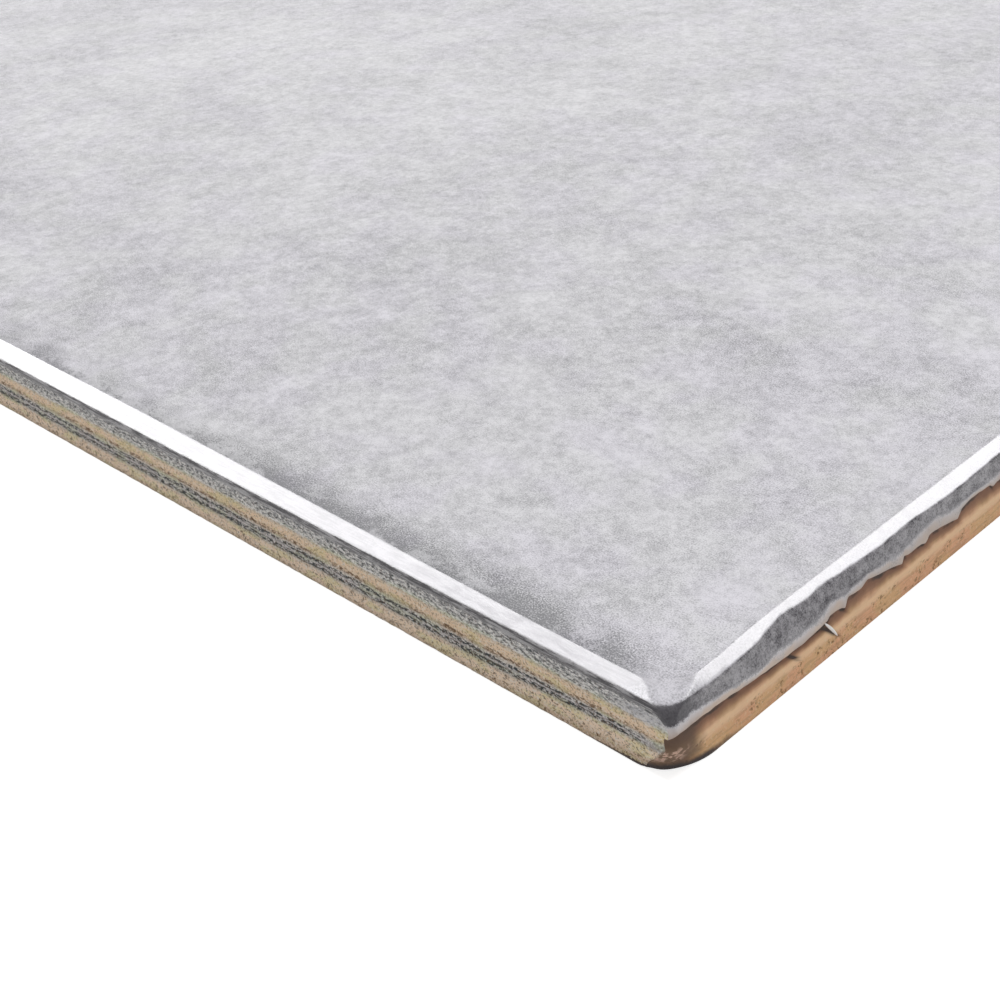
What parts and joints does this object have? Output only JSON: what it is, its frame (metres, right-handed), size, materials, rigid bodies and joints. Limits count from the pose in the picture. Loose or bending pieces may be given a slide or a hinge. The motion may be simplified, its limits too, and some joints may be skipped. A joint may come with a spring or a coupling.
{
  "type": "ceramic wall tile",
  "caption": "Rectangular glazed ceramic wall tile with a fired clay body, a cushioned glaze edge and a ribbed back, laid on adhesive as wall cladding.",
  "frame": {"origin": "centre of the tile in plan, on the plane that the ribs of its back stand on", "axes": "+X along the tile's long side, +Y along its short side, +Z out of the glazed face"},
  "size_m": [0.4, 0.25, 0.008],
  "materials": {
    "glazed_body": "light cool-grey speckled glaze with a satin gloss over a sandy tan fired body"
  },
  "bodies": {
    "root": {"tile": "glazed_body"}
  },
  "joints": []
}
